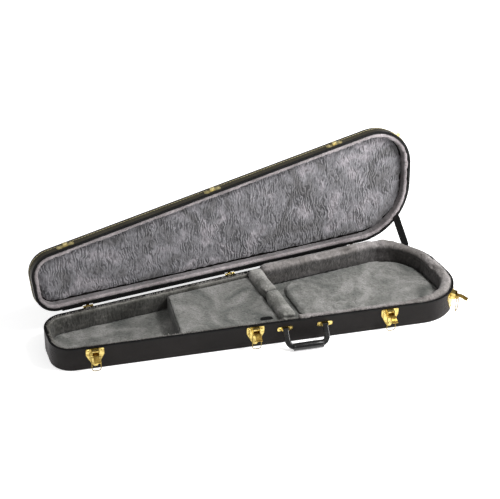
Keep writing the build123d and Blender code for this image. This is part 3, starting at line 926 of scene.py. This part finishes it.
# %% Lay the strap along its route
bpy.ops.object.select_all(action="DESELECT")
bpy.ops.mesh.primitive_grid_add(x_subdivisions=STRAP_COLUMNS, y_subdivisions=STRAP_ROWS, size=1.0)
strap = bpy.context.object
strap.name = "stay_strap_webbing"
runs = [b - a for a, b in zip(strap_route, strap_route[1:])]
strap_length = sum(run.length for run in runs)
for vertex in strap.data.vertices:
    travelled = (vertex.co.y + 0.5) * strap_length
    across = vertex.co.x * STRAP_WIDTH
    for start, run in zip(strap_route, runs):
        if travelled <= run.length + 1e-6:
            break
        travelled -= run.length
    side = STRAP_FACE - STRAP_FACE.project(strap_high - strap_low)
    vertex.co = start + run.normalized() * travelled + side.normalized() * across
soften(strap, 4)
sheet = strap.modifiers.new("thickness", "SOLIDIFY")
sheet.thickness = STRAP_THICKNESS
sheet.offset = 0.0
apply_modifiers(strap)
finish(strap, None, WEBBING, "webbing", "stay_strap")
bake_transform(strap)
print("strap", round(strap_length * 1000), "mm long with its tails")

# %% [markdown]
# ## The fuzzy edges
# Where the plush ends at a rim, its pile stands up as a fringe of small tufts. A tuft is a thin
# five-sided cone. It is modelled once, then copied along the outline with a random height,
# lean and turn from a fixed seed, and the copies are joined into one light piece.

# %% Fringes
TUFT_RADIUS = 0.0016
TUFT_HEIGHT = 0.0075
TUFT_LEAN = 50    # degrees, either way
FRINGE_INSET = 0.0095
FRINGE_SUNK = 0.0025


def fringe(name, body, inset, height, count):
    """A row of tufts round the case's plan, `inset` from the outside, at one height."""
    chance = random.Random(count)
    bpy.ops.object.select_all(action="DESELECT")
    bpy.ops.mesh.primitive_cone_add(
        vertices=5, radius1=TUFT_RADIUS, radius2=0.0002, depth=TUFT_HEIGHT,
        location=(0.0, 0.0, TUFT_HEIGHT / 2)
    )
    bpy.ops.object.transform_apply(location=True, rotation=True, scale=True)
    tuft = bpy.context.object
    places = []
    for point, run in evenly(outline(inset), count):
        tilt = math.radians(chance.uniform(-TUFT_LEAN, TUFT_LEAN))
        lean = Matrix.Rotation(tilt, 4, (run.x, run.y, 0.0))
        spin = Matrix.Rotation(chance.uniform(0, math.tau), 4, "Z")
        size = Matrix.Diagonal((1.0, 1.0, chance.uniform(0.5, 1.1), 1.0))
        place = Matrix.Translation((point.x, point.y, height))
        places.append(place @ lean @ spin @ size)
    piece = join_copies(tuft, places, name)
    finish(piece, body, FRINGE_PILE_PAINTED_LIGHT, "grey_plush")
    print(name, count, "tufts")
    return piece


rim_fringe = fringe("base_rim_fringe", "base", FRINGE_INSET, RIM_HEIGHT - FRINGE_SUNK, 1100)
pressed_by_lid(rim_fringe)

# %% [markdown]
# ## The handle's grip
# The grip is a thick glossy sleeve over the moulded bow, a little fuller in the middle for the
# palm, with a rolled edge at each end. A disc is extruded along the bow, step by step, and each
# step is scaled to the sleeve's radius there.

# %% Grip
GRIP_PROFILE = [
    (-0.0420, 0.0085), (-0.0418, 0.0100), (-0.0408, 0.0110), (-0.0392, 0.0110),
    (-0.0384, 0.0102), (-0.0374, 0.0104), (-0.0200, 0.0109), (0.0, 0.0110), (0.0200, 0.0109),
    (0.0374, 0.0104), (0.0384, 0.0102), (0.0392, 0.0110), (0.0408, 0.0110), (0.0418, 0.0100),
    (0.0420, 0.0085),
]
front_run = Vector(CORNERS[2]) - Vector(CORNERS[3])
FRONT_ANGLE = math.atan2(front_run.y, front_run.x)


def turned_rod(profile, faces):
    """A closed rod along X whose radius follows a profile of (place, radius) pairs."""
    bpy.ops.object.select_all(action="DESELECT")
    bpy.ops.mesh.primitive_circle_add(
        vertices=faces, radius=profile[0][1], fill_type="NGON",
        location=(profile[0][0], 0.0, 0.0), rotation=(0.0, math.pi / 2, 0.0)
    )
    bpy.ops.object.transform_apply(location=True, rotation=True, scale=True)
    piece = bpy.context.object
    bpy.ops.object.mode_set(mode="EDIT")
    bpy.ops.mesh.select_all(action="SELECT")
    for (place, radius), (after, wider) in zip(profile, profile[1:]):
        bpy.ops.mesh.extrude_region_move(TRANSFORM_OT_translate={"value": (after - place, 0, 0)})
        share = wider / radius
        bpy.ops.transform.resize(value=(1.0, share, share), center_override=(after, 0.0, 0.0))
    bpy.ops.mesh.select_all(action="SELECT")
    bpy.ops.mesh.normals_make_consistent(inside=False)
    bpy.ops.object.mode_set(mode="OBJECT")
    return piece


def set_in_place(piece, place, angle):
    """Turn a piece about +Z, move it, and put that into its mesh."""
    work_on(piece)
    piece.rotation_euler = (0.0, 0.0, angle)
    piece.location = place
    bpy.ops.object.transform_apply(location=True, rotation=True, scale=True)


grip = turned_rod(GRIP_PROFILE, 40)
grip.name = "handle_grip_sleeve"
set_in_place(grip, middle_of("handle_grip"), FRONT_ANGLE)
finish(grip, "handle", HANDLE_BLACK, "handle_black", "handle_grip")
work_on(grip)
bpy.ops.object.shade_smooth_by_angle(angle=math.radians(50))
print("grip", len(grip.data.polygons), "faces")

# %% [markdown]
# ## The box lid's pull tab
# A short doubled ribbon is sewn to the box lid, to lift it by. Its middle stands a little off
# the plush, so that a finger gets under it.

# %% Pull tab
TAB_LENGTH, TAB_WIDTH, TAB_THICKNESS, TAB_RISE = 0.040, 0.014, 0.002, 0.002

bpy.ops.object.select_all(action="DESELECT")
bpy.ops.mesh.primitive_grid_add(x_subdivisions=16, y_subdivisions=6, size=1.0)
tab = bpy.context.object
tab.name = "box_lid_pull"
for vertex in tab.data.vertices:
    share = 2 * vertex.co.x
    narrowing = 1.0 - 0.25 * share**4
    vertex.co = Vector((
        vertex.co.x * TAB_LENGTH, vertex.co.y * TAB_WIDTH * narrowing, TAB_RISE * (1 - share**2)
    ))
ribbon = tab.modifiers.new("thickness", "SOLIDIFY")
ribbon.thickness = TAB_THICKNESS
soft_edge = tab.modifiers.new("soft_edge", "BEVEL")
soft_edge.width = 0.0005
soft_edge.segments = 2
apply_modifiers(tab)
tab_place = middle_of("box_lid_tab")
set_in_place(tab, tab_place, FRONT_ANGLE)
finish(tab, "box_lid", WEBBING, "webbing", "box_lid_tab")
print("pull tab at", tab_place[:])
